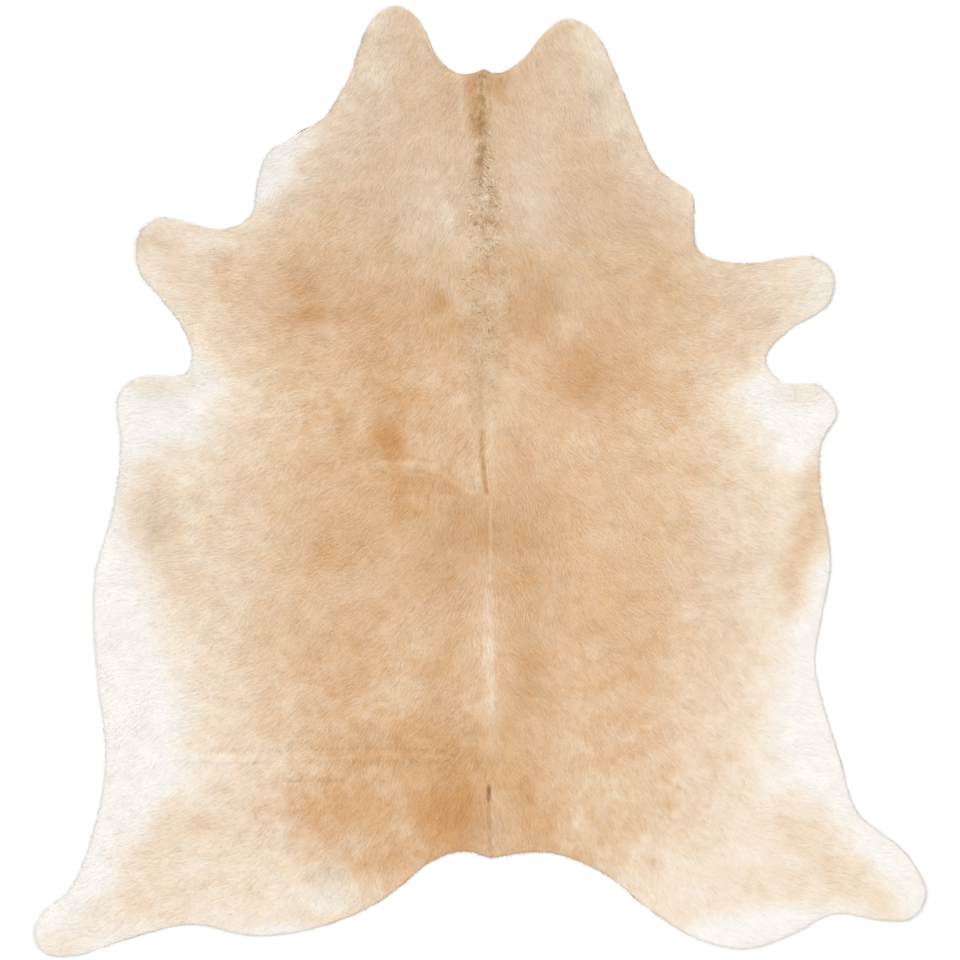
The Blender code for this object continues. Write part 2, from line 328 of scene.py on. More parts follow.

# %% [markdown]
# Marks on the spine and the folds are lines. One table holds them: how wide they are, how far they rise
# from the skin or sink into it, how much paler or deeper the hair there is, and how much of it is dark. The
# same rows shape the leather that the locks lie on, and colour both, so that shape and colour stay together.

# %% Lines of the folds
# name, half width, rise in mm, change of depth, share of dark hair, the line's places (out, up)
# Paler hair on fold ridges, lips and pale lines is painted highlight; deeper and darker hair in slits,
# creases and wrinkles is painted shade. The brown line of the mane and its warm side are the hair's own
# colour.
LINES = (
    ("brown line of the mane", 20, 0.0, 0.10, 0.03, ((-14, 1818), (-16, 1700), (-13, 1590))),
    ("warm side of the mane", 26, 0.0, 0.18, 0.0, ((-38, 1815), (-36, 1740), (-34, 1685))),
    ("its thin end", 14, 0.0, 0.05, 0.04, ((-12, 1590), (-9, 1500), (-9, 1430))),
    ("pale line by the mane", 8, 0.2, -0.09, 0.0, ((-60, 1811), (-61, 1740), (-59, 1680))),
    ("dark edge of the neckline", 9, 0.0, 0.0, 0.22, ((-150, 1885), (-110, 1828), (-60, 1812), (50, 1811))),
    ("faint start of the slit", 9, -0.3, 0.02, 0.12, ((-12, 1110), (-12, 1040), (-10, 985))),
    ("slit of the back", 9, -0.5, 0.05, 0.22, ((-10, 985), (-10, 940), (-5, 893), (-1, 846))),
    ("its red end", 8, 0.0, 0.12, 0.16, ((-6, 905), (-3, 875), (-1, 852))),
    ("left lip of the slit", 14, 0.3, -0.06, 0.0, ((-29, 960), (-27, 920), (-18, 880))),
    ("end of the left lip", 14, 0.2, -0.12, 0.0, ((-20, 872), (-16, 848))),
    ("right lip of the slit", 16, 0.3, -0.07, 0.0, ((12, 1000), (14, 920), (16, 850))),
    ("thin pale line", 7, 0.2, -0.13, 0.0, ((10, 830), (10, 735), (9, 640))),
    ("thin dark line", 6, -0.2, 0.04, 0.05, ((-1, 826), (1, 790), (3, 735), (4, 700))),
    ("fold down the back", 24, 0.3, -0.10, 0.0, ((8, 640), (7, 520), (6, 440), (12, 370))),
    ("palest of the fold", 24, 0.2, -0.09, 0.0, ((6, 500), (6, 450), (9, 405))),
    ("fold's faint end", 30, 0.1, -0.08, 0.0, ((12, 370), (17, 310), (19, 250))),
    ("slit at the tail", 9, -0.7, 0.08, 0.75, ((3, 158), (3, 145), (3, 134))),
    ("line to the tail", 8, -0.4, 0.02, 0.15, ((4, 122), (6, 60), (10, 2))),
    ("lip of the tail slit", 12, 0.3, -0.06, 0.0, ((17, 165), (18, 90), (20, 5))),
    ("pale fold of the rump", 9, 0.1, -0.05, 0.0, ((-620, 224), (-560, 225), (-440, 228))),
    ("red line of the rump", 7, -0.1, 0.07, 0.03, ((-400, 238), (-300, 240), (-264, 238))),
    ("pale side of the red line", 7, 0.1, -0.03, 0.0, ((-420, 229), (-300, 230), (-200, 230))),
    ("wrinkle of the left hip", 5, -0.3, 0.05, 0.22, ((-462, 180), (-444, 178), (-425, 181))),
    ("second wrinkle", 5, -0.3, 0.05, 0.20, ((-388, 182), (-378, 180), (-368, 182))),
    ("third wrinkle", 5, -0.3, 0.05, 0.22, ((-363, 180), (-348, 178), (-333, 181))),
    ("crease of the left ribs", 7, 0.2, -0.04, 0.0, ((-663, 1037), (-500, 1021), (-363, 1030))),
    ("fold behind the shoulder", 12, 0.1, -0.07, 0.0, ((-258, 911), (-215, 914), (-175, 912))),
    ("its faint end to the spine", 18, 0.05, -0.01, 0.0, ((-80, 896), (-40, 887), (-18, 868))),
    ("shade below that fold", 26, -0.05, 0.04, 0.0, ((-285, 886), (-177, 882), (-130, 878), (-85, 858))),
    ("mark of the right thigh", 9, -0.3, 0.06, 0.10, ((404, 189), (430, 172), (462, 153))),
    ("scratch of the right thigh", 5, 0.2, -0.08, 0.0, ((396, 111), (408, 97), (419, 82))),
)


def distance_to_line(places, line):
    """How far each place lies from a line of straight runs, in mm."""
    line = np.array(line, float)
    starts, runs = line[:-1], np.diff(line, axis=0)
    from_start = places[:, None] - starts
    share = np.clip((from_start * runs).sum(2) / (runs * runs).sum(1), 0.0, 1.0)
    return np.linalg.norm(from_start - share[..., None] * runs, axis=2).min(1)


print("lines:", len(LINES))

# %% [markdown]
# Down the mane stand dark flecks, a tuft of brown hair each. The rest of the coat is uneven too: it grew a
# little deeper or paler here and there, and its tan is greyer on the neck and warmer on the rump. Hills and
# noise of a few sizes stand for that.

# %% Flecks, mottles and greyness
FLECK_TINT = 0.7  # how much of a fleck the lying coat shows, as the mane's own locks show the rest
# Dark flecks of the mane and a few beyond it: place (out, up), half sizes (across, along), share of dark
FLECKS = (
    ((-10, 1808), (24, 16), 0.35),
    ((-12, 1785), (8, 14), 0.35),
    ((-12, 1750), (12, 10), 0.75),
    ((-13, 1715), (10, 18), 0.70),
    ((-12, 1692), (12, 14), 0.80),
    ((-10, 1676), (16, 9), 0.90),
    ((-30, 1700), (8, 34), 0.30),
    ((-11, 1640), (14, 12), 0.85),
    ((-12, 1612), (13, 24), 0.85),
    ((-26, 1605), (14, 7), 0.45),
    ((-11, 1575), (9, 20), 0.55),
    ((6, 1551), (22, 6), 0.40),
    ((20, 1533), (14, 7), 0.40),
    ((-26, 1530), (16, 6), 0.40),
    ((14, 1512), (10, 8), 0.55),
    ((-8, 1498), (7, 22), 0.45),
    ((-24, 1466), (12, 9), 0.75),
    ((2, 1470), (20, 6), 0.50),
    ((-8, 1455), (7, 14), 0.50),
    ((-4, 1425), (9, 10), 0.45),
    ((12, 1408), (8, 8), 0.35),
    ((20, 1350), (9, 8), 0.25),
    ((-25, 1287), (8, 8), 0.20),
    ((-5, 1262), (10, 8), 0.25),
    ((8, 1215), (9, 8), 0.15),
    ((-20, 1190), (9, 8), 0.15),
    ((405, 91), (7, 6), 0.40),
)
# Uneven growth all over the coat: size in mm, how much it changes the depth, seed
MOTTLES = ((85.0, 0.020, 31), (36.0, 0.062, 32), (15.0, 0.062, 33))
# Uneven hue: size in mm, how much it changes the greyness, seed
HUES = ((36.0, 0.20, 41), (14.0, 0.32, 42), (7.0, 0.35, 43))
# How grey the coat is from the hocks to the poll: up, share of grey. Minus is warmer.
GREY_SECTIONS = (
    (-80, 0.0),
    (0, -0.2),
    (160, -0.2),
    (260, 0.0),
    (1000, 0.05),
    (1150, 0.2),
    (1250, 0.5),
    (1350, 0.65),
    (1450, 0.95),
    (1700, 0.95),
    (1950, 1.1),
)
# name, place (out, up), reach (across, along), share of grey
GREY_PLACES = (
    ("right of the neck", (230, 1450), (240, 230), 0.30),
    ("mane's top", (-10, 1760), (90, 180), -0.25),
    ("curly strip", (-10, 1400), (70, 150), -0.75),
    ("neck's right edge", (300, 1800), (95, 180), 1.00),
    ("neck's left edge", (-470, 1590), (110, 150), 0.90),
    ("left shoulder's top", (-440, 1440), (200, 110), -0.60),
    ("left foreleg", (-600, 1335), (160, 100), -0.30),
    ("left fore toe", (-790, 1390), (80, 80), 0.60),
    ("right fore toe", (760, 1345), (100, 60), 0.60),
    ("right withers", (125, 1290), (130, 110), 0.35),
    ("left blade", (-150, 1080), (130, 170), -0.45),
    ("left chest", (-330, 1000), (200, 280), -0.22),
    ("right blade", (230, 1110), (160, 130), 0.30),
    ("right of the spine", (80, 780), (140, 340), 0.48),
    ("left of the spine", (-65, 680), (130, 280), 0.40),
    ("right of the fold", (95, 420), (100, 220), 0.30),
    ("right belly's side", (580, 680), (280, 400), 0.42),
    ("left belly's side", (-570, 640), (270, 380), 0.35),
    ("left belly", (-800, 800), (150, 280), 1.10),
    ("left hip", (-450, 105), (220, 150), -0.90),
    ("left of the tail", (-225, 60), (150, 170), -0.80),
    ("left loin", (-210, 340), (90, 200), -0.30),
    ("beside the tail", (0, 70), (120, 110), 0.75),
    ("right hip", (260, 90), (150, 150), -0.55),
    ("right thigh", (490, 120), (150, 110), -0.60),
    ("right loin", (275, 370), (160, 180), -0.35),
    ("left flap", (-740, 1080), (170, 80), 1.80),
    ("right flap", (735, 1070), (120, 60), 1.00),
    ("left elbow", (-680, 950), (170, 80), 0.90),
    ("grey smudge", (-372, -55), (85, 75), 1.80),
)
GREY_FROM = 0.4  # depth of colour below which the coat is too pale for the whole of its grey
print("flecks:", len(FLECKS), "and grey or warm places:", len(GREY_PLACES))

# %% [markdown]
# One function puts all of it together. It gives the coat at any place as three numbers, and every mesh
# below keeps them at its points: the depth of colour, the greyness (minus is warmer) and the share of dark
# hair. The places are moved about a little first, which frays the outline of every patch and line.

# %% The coat at any place
WANDERS = ((20.0, 8.0), (3.0, 2.5))  # mm, wide and narrow, for patches and for lines
PALE_SHARE = 0.3  # of the mottles and of the grey is left where the coat is white


def coat_at(places):
    """The coat at each place: depth of colour, share of grey, share of dark hair."""
    loose, close = (wandered(places, *wander) for wander in WANDERS)
    depth = depth_by_section(loose) + depth_by_patches(loose)
    inside = np.clip(depth / CREAM_DEPTH, PALE_SHARE, 1.0)
    for size, amount, seed in MOTTLES:
        depth += amount * inside * soft_noise(places, size, seed)
    dark = np.zeros(len(places))
    # lines: painted highlight on ridges and lips, painted shade in slits and creases, besides the mane's own
    # brown
    for _, half_width, _, deeper, darker, line in LINES:
        near = hill(distance_to_line(close, line) / half_width)
        depth += deeper * near
        dark = np.maximum(dark, darker * near)
    for place, reach, share in FLECKS:
        dark = np.maximum(dark, FLECK_TINT * share * spot(close, place, reach))
    grey = np.interp(loose[:, 1], *zip(*GREY_SECTIONS))
    for _, place, reach, share in GREY_PLACES:
        grey += share * spot(loose, place, reach)
    for size, amount, seed in HUES:
        grey += amount * soft_noise(places, size, seed)
    grey *= np.clip(depth / GREY_FROM, PALE_SHARE, 1.0)
    return np.stack([np.clip(depth, 0.0, DEEPEST), grey, dark], axis=1)


print("coat on the rump:", coat_at(np.array([(-90.0, 150.0)])).round(2))

# %% [markdown]
# Hair on a hide lies the way it grew: back from the poll along the neck, out and back over the ribs, and
# down the legs. The table gives, for named places, the angle by which the hair turns outwards from the
# straight way to the tail. Both sides mirror each other, and on the spine the hair points straight back.
# Between the places the angle is blended by distance, then stirred, as real hair lies in small drifts.

# %% Which way the hair lies
# name, place (out from the spine on either side, up), outward turn in degrees
FLOW = (
    ("poll", (40, 1800), 6),
    ("neck lobe", (220, 1880), 24),
    ("neck", (220, 1640), 32),
    ("neck's edge", (400, 1560), 52),
    ("withers", (80, 1300), 14),
    ("shoulder", (380, 1330), 62),
    ("foreleg", (640, 1310), 96),
    ("fore toe", (790, 1380), 108),
    ("armpit", (600, 1130), 84),
    ("elbow flap", (800, 1020), 92),
    ("chest", (450, 960), 60),
    ("back", (70, 800), 14),
    ("ribs", (300, 760), 42),
    ("belly", (780, 700), 76),
    ("lower ribs", (300, 450), 38),
    ("lower belly", (760, 380), 70),
    ("hip", (250, 180), 30),
    ("thigh", (560, 80), 54),
    ("hock", (820, -60), 64),
    ("hind foot", (1000, -160), 62),
    ("tail", (40, 60), 4),
    ("rump's edge", (300, -60), 26),
)
SPINE_BAND = 55.0  # mm on either side of the spine where the hair comes to point straight back
FLOW_REACH = 60.0  # mm, how near a place has to be for its angle to win
# Drifts of the hair: size in mm, degrees, seed
DRIFTS = ((170.0, 16.0, 41), (48.0, 20.0, 42), (17.0, 12.0, 43))


def pointing(turn):
    """Unit directions (out, up) of hair that turns outwards by so many radians."""
    return np.stack([np.sin(turn), -np.cos(turn)], axis=1)


def lie_at(places):
    """Unit directions (out, up) in which the hair lies."""
    out, up = places.T
    turn, weight = np.zeros(len(places)), np.zeros(len(places))
    for _, (away, height), degrees in FLOW:
        nearness = 1.0 / (1.0 + np.hypot(np.abs(out) - away, up - height) / FLOW_REACH) ** 3
        turn += nearness * degrees
        weight += nearness
    turn = turn / weight * np.sign(out) * np.clip(np.abs(out) / SPINE_BAND, 0.0, 1.0)
    for size, degrees, seed in DRIFTS:
        turn += degrees * soft_noise(places, size, seed)
    return pointing(np.radians(turn))


for name, place in (("ribs", (-300.0, 700.0)), ("hock", (820.0, -60.0))):
    print("hair lies", lie_at(np.array([place]))[0].round(2), "at the", name)

# %% [markdown]
# The leather itself comes from the CAD solid, so its outline and folds are the true ones. The node's mesh
# is copied, its loose triangles are merged, and its faces are cut finer: all of them once, the upper side
# once more, and a third time along the folds. Edit mode does the merging and cutting, on faces that are
# picked in code by their place.

# %% Cut the leather from the solid
SAME_POINT = 0.05  # mm within which points are merged
STEEP = 0.5  # a face whose normal rises less than this belongs to the cut edge
FOLD_REACH = 24.0  # mm on either side of a fold that get the finest faces


def read(items, name, each=3):
    """A property of all the points or faces of a mesh, as an array."""
    values = np.zeros(len(items) * each, np.float32)
    items.foreach_get(name, values)
    return values.reshape(-1, each).astype(float)


def triangles_of(mesh):
    """The three points of each face."""
    corners = np.zeros(len(mesh.loops), np.int32)
    mesh.loops.foreach_get("vertex_index", corners)
    return corners.reshape(-1, 3)


def faces_up(mesh):
    """Whether each face belongs to the upper side."""
    return read(mesh.polygons, "normal")[:, 2] > STEEP


def near_a_fold(places):
    """Whether each place lies on or beside one of the lines."""
    near = np.zeros(len(places), bool)
    for *_, line in LINES:
        near |= distance_to_line(places, line) < FOLD_REACH
    return near


def cut_finer(mesh, chosen):
    """Cuts the chosen faces of the active object's mesh once each way, and leaves triangles."""
    mesh.vertices.foreach_set("select", np.zeros(len(mesh.vertices), bool))
    mesh.edges.foreach_set("select", np.zeros(len(mesh.edges), bool))
    mesh.polygons.foreach_set("select", chosen)
    bpy.ops.object.mode_set(mode="EDIT")
    bpy.ops.mesh.select_mode(type="FACE")
    bpy.ops.mesh.subdivide(number_cuts=1, smoothness=0.0)
    bpy.ops.mesh.select_all(action="SELECT")
    bpy.ops.mesh.quads_convert_to_tris()
    bpy.ops.object.mode_set(mode="OBJECT")


def cut_leather():
    """A finer copy of the CAD solid's mesh."""
    piece = bpy.data.objects.new("skin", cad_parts["hide"].data.copy())
    bpy.context.scene.collection.objects.link(piece)
    bpy.ops.object.select_all(action="DESELECT")
    piece.select_set(True)
    bpy.context.view_layer.objects.active = piece
    bpy.ops.object.mode_set(mode="EDIT")
    bpy.ops.mesh.select_all(action="SELECT")
    bpy.ops.mesh.remove_doubles(threshold=SAME_POINT * MM)
    bpy.ops.object.mode_set(mode="OBJECT")
    mesh = piece.data
    cut_finer(mesh, np.ones(len(mesh.polygons), bool))
    cut_finer(mesh, faces_up(mesh))
    cut_finer(mesh, faces_up(mesh) & near_a_fold(on_hide(read(mesh.polygons, "center"))))
    return piece


skin = cut_leather()
print("leather:", len(skin.data.polygons), "triangles")

# %% [markdown]
# The solid counts skin and coat together. So the leather's upper side is sunk by the depth of the coat, and
# the folds and slits are pressed into it. Its edge is drawn in a little, because hair hangs over it. The
# points of the rim are kept, to hang that hair from them.

# %% Press the folds into it
COAT_THICKNESS = 0.9  # mm of hair lying on the skin over the back
EDGE_COAT = 0.8  # mm of hair at the trimmed edge
COAT_TAPER = 60.0  # mm from the edge within which the coat comes to its whole thickness
EDGE_DRAWN_IN = 2.5  # mm that the leather stays inside the solid's outline
FOLD_MARGIN = 2.0  # mm by which a fold is wider in the skin than in the coat
CREASE_ANGLE = 50.0  # degrees from which an edge is sharp
NO_LENGTH = 1e-6  # a direction shorter than this has none
LUMPS = ((90.0, 0.35, 51), (34.0, 0.18, 52))  # unevenness of the skin: size, height in mm, seed


def unit(vectors):
    """The vectors brought to length 1."""
    return vectors / np.maximum(np.linalg.norm(vectors, axis=-1, keepdims=True), NO_LENGTH)


def rise_at(places):
    """How far folds, slits and lumps stand above the even skin, in mm."""
    rise = sum(height * soft_noise(places, size, seed) for size, height, seed in LUMPS)
    for _, half_width, height, _, _, line in LINES:
        rise = rise + height * hill(distance_to_line(places, line) / (half_width + FOLD_MARGIN))
    return rise


def press_folds(mesh):
    """Shapes the leather, and gives the points of its upper rim and the ways out of the hide there."""
    points = read(mesh.vertices, "co")
    upness = read(mesh.polygons, "normal")[:, 2]
    corners = triangles_of(mesh)
    on_top, on_wall = np.zeros(len(points), bool), np.zeros(len(points), bool)
    on_top[corners[upness > STEEP]] = True
    on_wall[corners[np.abs(upness) < STEEP]] = True
    outward = unit(read(mesh.vertices, "normal")[:, :2])
    places = on_hide(points)
    rim = places[on_top & on_wall]
    from_edge = np.array([np.hypot(*(rim - place).T).min() for place in places[on_top]])
    full = np.clip(from_edge / COAT_TAPER, 0.0, 1.0)
    full = full * (2.0 - full)
    coat = EDGE_COAT + (COAT_THICKNESS - EDGE_COAT) * full
    points[on_top, 2] += (rise_at(places[on_top]) * full - coat) * MM
    points[on_wall, :2] -= outward[on_wall] * EDGE_DRAWN_IN * MM
    mesh.vertices.foreach_set("co", points.astype(np.float32).ravel())
    mesh.update()
    bpy.ops.object.shade_smooth_by_angle(angle=np.radians(CREASE_ANGLE))
    return points[on_top & on_wall], outward[on_top & on_wall]


rim_points, rim_outward = press_folds(skin.data)
print("points on the rim:", len(rim_points))

# %% [markdown]
# The leather's two sides are different stuff. The upper side shows between the hairs and wears the coat's
# own colours, which are stored at each point of the mesh as a colour attribute, because over a hundred
# patches would make an unreadable node tree. A second attribute keeps which way the hair lies. The
# underside is bare suede. A flat map laid over the hide from above serves both: the upper side takes most
# of its width, the underside the strip beside it.

# %% Colours and map of the leather
UPPER_WIDTH = 0.72  # share of the map's width that the upper side takes
UNDER_START = 0.74  # where the underside's share begins, a little past it


def store_colours(mesh, name, values):
    """Keeps three values at each point of a mesh as a colour attribute."""
    layer = mesh.color_attributes.new(name, "FLOAT_COLOR", "POINT")
    filled = np.concatenate([values, np.ones((len(values), 1))], axis=1)
    layer.data.foreach_set("color", filled.astype(np.float32).ravel())


def store_map(mesh, flat):
    """Keeps a flat place from 0 to 1 for each corner of each face."""
    layer = mesh.uv_layers.new(name="OFBake")
    layer.uv.foreach_set("vector", flat.astype(np.float32).ravel())
    mesh.uv_layers.active = layer


def fill_box(flat):
    """Flat places stretched to run from 0 to 1 both ways."""
    low, high = flat.min(0), flat.max(0)
    return (flat - low) / (high - low)


def with_third(pairs, third=0.0):
    """A third number behind each pair."""
    return np.concatenate([pairs, np.broadcast_to(third, (len(pairs), 1))], axis=1)


def dress_leather(mesh):
    """Colours, map and the two material slots of the leather."""
    for old in list(mesh.uv_layers):
        mesh.uv_layers.remove(old)
    points = read(mesh.vertices, "co")
    places = on_hide(points)
    store_colours(mesh, "coat", coat_at(places))
    store_colours(mesh, "lie", with_third(lie_at(places) * 0.5 + 0.5))
    upper = faces_up(mesh)
    mesh.materials.clear()
    for name in ("hair_roots", "flesh_side"):
        mesh.materials.append(bpy.data.materials.new(name))
    mesh.polygons.foreach_set("material_index", np.where(upper, 0, 1))
    flat = fill_box(points[:, :2])[triangles_of(mesh).ravel()]
    upper_corners = np.repeat(upper, 3)
    flat[upper_corners, 0] *= UPPER_WIDTH
    flat[~upper_corners, 0] = UNDER_START + (1.0 - UNDER_START) * flat[~upper_corners, 0]
    store_map(mesh, flat)
    mesh.update()


dress_leather(skin.data)
print("upper side:", int(faces_up(skin.data).sum()), "triangles")

# %% [markdown]
# A hide has millions of hairs. At the distance of a rug they read as small locks, each a few hairs that lie
# together, so the coat is made of locks: nearly two hundred thousand of them, sown in staggered rows with
# every root moved a little. A ray dropped straight down on the leather finds each root's height, and a
# second one tells whether the lock's tip still lies over the leather. Locks whose tips would hang over the
# edge are cut short, as the trimmer's knife does.

# %% Sow the roots
ROOT_PITCH = 4.25  # mm between roots in a row
ROOT_SCATTER = 0.42  # of the pitch, how far a root strays
ROW_STEP = 0.75**0.5  # of the pitch from row to row, so that neighbours are evenly far apart
ABOVE = 0.05  # metres, clear of the hide
COAT_SEED = 7
DOWNWARD = Vector((0.0, 0.0, -1.0))


def upper_side_tree(mesh):
    """The leather's upper side, ready for rays."""
    corners = triangles_of(mesh)[faces_up(mesh)].tolist()
    return BVHTree.FromPolygons(read(mesh.vertices, "co").tolist(), corners, all_triangles=True)


def heights_at(tree, points):
    """The height of the leather under each point (x, y) in metres, or nan beside it."""
    heights = np.full(len(points), np.nan)
    for number, (x, y) in enumerate(points):
        hit = tree.ray_cast(Vector((x, y, ABOVE)), DOWNWARD)[0]
        if hit is not None:
            heights[number] = hit.z
    return heights


def staggered(low, high, pitch, scatter, random):
    """Places in staggered rows over a box, each moved a little."""
    rows = np.arange(low[1], high[1], pitch * ROW_STEP)
    across = np.arange(low[0], high[0], pitch)
    out, up = np.meshgrid(across, rows)
    out = out + (np.arange(len(rows)) % 2)[:, None] * pitch / 2
    places = np.stack([out.ravel(), up.ravel()], axis=1)
    return places + random.uniform(-scatter, scatter, places.shape) * pitch


random = np.random.default_rng(COAT_SEED)
leather_tree = upper_side_tree(skin.data)
low, high = (on_hide([corner])[0] for corner in cad_box)
roots = staggered(low, high, ROOT_PITCH, ROOT_SCATTER, random)
root_height = heights_at(leather_tree, in_frame(roots))
found = np.isfinite(root_height)
roots, root_height = roots[found], root_height[found]
print("roots:", len(roots))

# %% [markdown]
# One lock is the simplest closed shape that reads as hair: a sliver of four triangles. Its root is wide
# and just under the skin, it swells to a low crest, and its point touches down again, so that a low view
# meets hair and never the dark below it. All locks of a region are made in one go, as arrays, and joined
# into one mesh, because an object for each would bring Blender to a halt.

# %% Many locks in one mesh
UPWARD = np.array((0.0, 0.0, 1.0))
ROOT_SUNK = 0.25  # mm that the root is below the leather's surface
TIP_RISE = 0.05  # mm that the tip is above it
CREST_AT = 0.3  # of the length
CLEAR_OF_FLOOR = 0.1  # mm, the lowest that any point of a lock may be
ROUNDNESS = 0.4  # how far the light sees the sides of a root turned away
LEANING = 0.1  # how far it sees the crest lean back and the tip forward
# The form of a lock: its faces, then how far along and across the lock each of its points is
SLIVER = (
    np.array(((0, 1, 2), (1, 3, 2), (0, 2, 3), (0, 3, 1))),
    (0.0, 0.0, CREST_AT, 1.0),
    (0.0, 1.0, 0.5, 0.5),
)


def joined_locks(name, form, points, normals, coat, tone):
    """One mesh of many locks. points is an array of lock, point of the lock, (x, y, z) in metres."""
    faces, along, across = form
    count, each = points.shape[:2]
    corners = (faces + each * np.arange(count)[:, None, None]).reshape(-1)
    mesh = bpy.data.meshes.new(name)
    mesh.vertices.add(count * each)
    mesh.vertices.foreach_set("co", points.astype(np.float32).ravel())
    mesh.loops.add(len(corners))
    mesh.loops.foreach_set("vertex_index", corners.astype(np.int32))
    mesh.polygons.add(len(corners) // 3)
    mesh.polygons.foreach_set("loop_start", np.arange(0, len(corners), 3, dtype=np.int32))
    mesh.update(calc_edges=True)
    mesh.shade_smooth()
    mesh.normals_split_custom_set_from_vertices(normals.reshape(-1, 3).astype(np.float32))
    store_colours(mesh, "coat", np.repeat(coat, each, axis=0))
    shape = np.tile(np.stack([along, across], axis=1), (count, 1))
    store_colours(mesh, "lock", np.concatenate([np.repeat(tone, each)[:, None], shape], axis=1))
    store_map(mesh, fill_box(points.reshape(-1, 3)[:, :2])[corners])
    piece = bpy.data.objects.new(name, mesh)
    bpy.context.scene.collection.objects.link(piece)
    return piece


def sliver_points(places, heights, tip_heights, lie, length, width, rise):
    """The four points of each lying lock in metres, and the normals that light sees there."""
    forward = with_third(lie)
    side = with_third(np.stack([lie[:, 1], -lie[:, 0]], axis=1))
    root = with_third(in_frame(places), (heights - ROOT_SUNK * MM)[:, None])
    tip = with_third(root[:, :2], (tip_heights + TIP_RISE * MM)[:, None]) + forward * length[:, None] * MM
    crest = root + (tip - root) * CREST_AT + UPWARD * (rise[:, None] + ROOT_SUNK) * MM
    half = side * width[:, None] * 0.5 * MM
    points = np.stack([root - half, root + half, crest, tip], axis=1)
    points[..., 2] = np.maximum(points[..., 2], CLEAR_OF_FLOOR * MM)
    turned = (-ROUNDNESS * side, ROUNDNESS * side, -LEANING * forward, LEANING * forward)
    return points, unit(np.stack([UPWARD + away for away in turned], axis=1))


print("a sliver has", len(SLIVER[0]), "faces on", len(SLIVER[1]), "points")

# %% [markdown]
# Four regions of equal count run the length of the hide, so that none is too heavy. No two tufts are alike:
# each lock strays a little from the lie of the hair, has its own length, width and rise, and keeps its own
# tone. It takes the colour that the coat has just short of its middle, where most of it shows.

# %% Lay the coat
COAT_REGIONS = ("coat_left_flank", "coat_left_back", "coat_right_back", "coat_right_flank")
LOCK_LENGTH, LENGTH_SPREAD = 20.0, (0.72, 1.28)  # mm, and the shares of it that single locks have
LOCK_WIDTH, WIDTH_SPREAD = 1.7, (0.7, 1.3)  # the same for its width
LOCK_STRAY = 9.0  # degrees by which a lock strays from the lie of the hair
TRIMMED = 0.42  # of its length is left of a lock that would hang over the edge
CREST_RISE, RISE_SPREAD = 0.65, 0.5  # mm that the crest is above the leather, and how much that varies
SEEN_AT = 0.45  # of the length, the place whose colour a lock has
RUFFLES = (26.0, 0.35, 61)  # size in mm, share of the crest's rise, seed
TONES = (9.0, 0.18, 62)  # size in mm, how much the tone varies with the place, seed
TONE_STRAY = 0.2  # how much it varies from lock to lock


def lay_coat():
    """The four regions of the coat."""
    count = len(roots)
    out, up = lie_at(roots).T
    stray = np.radians(random.normal(0.0, LOCK_STRAY, count))
    cosine, sine = np.cos(stray), np.sin(stray)
    lie = np.stack([out * cosine - up * sine, out * sine + up * cosine], axis=1)
    length = LOCK_LENGTH * random.uniform(*LENGTH_SPREAD, count)
    tips = heights_at(leather_tree, in_frame(roots + lie * length[:, None]))
    hangs_over = ~np.isfinite(tips)
    length = np.where(hangs_over, length * TRIMMED, length)
    tips = np.where(hangs_over, root_height, tips)
    width = LOCK_WIDTH * random.uniform(*WIDTH_SPREAD, count)
    size, amount, seed = RUFFLES
    ruffled = amount * soft_noise(roots, size, seed)
    rise = CREST_RISE * (1.0 + ruffled + random.uniform(-RISE_SPREAD, RISE_SPREAD, count))
    points, normals = sliver_points(roots, root_height, tips, lie, length, width, rise)
    coat = coat_at(roots + lie * length[:, None] * SEEN_AT)
    size, amount, seed = TONES
    tone = 0.5 + amount * soft_noise(roots, size, seed) + random.normal(0.0, TONE_STRAY, count)
    tone = np.clip(tone, 0.0, 1.0)
    limits = np.quantile(roots[:, 0], np.linspace(0.0, 1.0, len(COAT_REGIONS) + 1))
    region = np.searchsorted(limits, roots[:, 0], side="right") - 1
    region = np.clip(region, 0, len(COAT_REGIONS) - 1)
    pieces = []
    for number, name in enumerate(COAT_REGIONS):
        own = region == number
        pieces.append(joined_locks(name, SLIVER, points[own], normals[own], coat[own], tone[own]))
        print(name, "has", len(pieces[-1].data.polygons), "triangles")
    return pieces


coat_pieces = lay_coat()

# %% [markdown]
# Hair at the rim and along the mane is seen from the side, where a flat sliver would give itself away. So
# it is made of locks that bend: three sides, two stretches and a point, ten triangles each.

# %% Locks that bend
HALFWAY_WIDTH = 0.8  # of the width is left halfway along a lock
THICKNESS = 0.35  # of the width
# The form of a bent lock, written as for the sliver
BENT = (
    np.array(
        (
            (0, 2, 1),
            (0, 4, 3), (0, 1, 4),
            (1, 5, 4), (1, 2, 5),
            (2, 3, 5), (2, 0, 3),
            (3, 4, 6), (4, 5, 6), (5, 3, 6),
        )
    ),
    (0.0, 0.0, 0.0, 0.5, 0.5, 0.5, 1.0),
    (0.0, 0.5, 1.0, 0.0, 0.5, 1.0, 0.5),
)


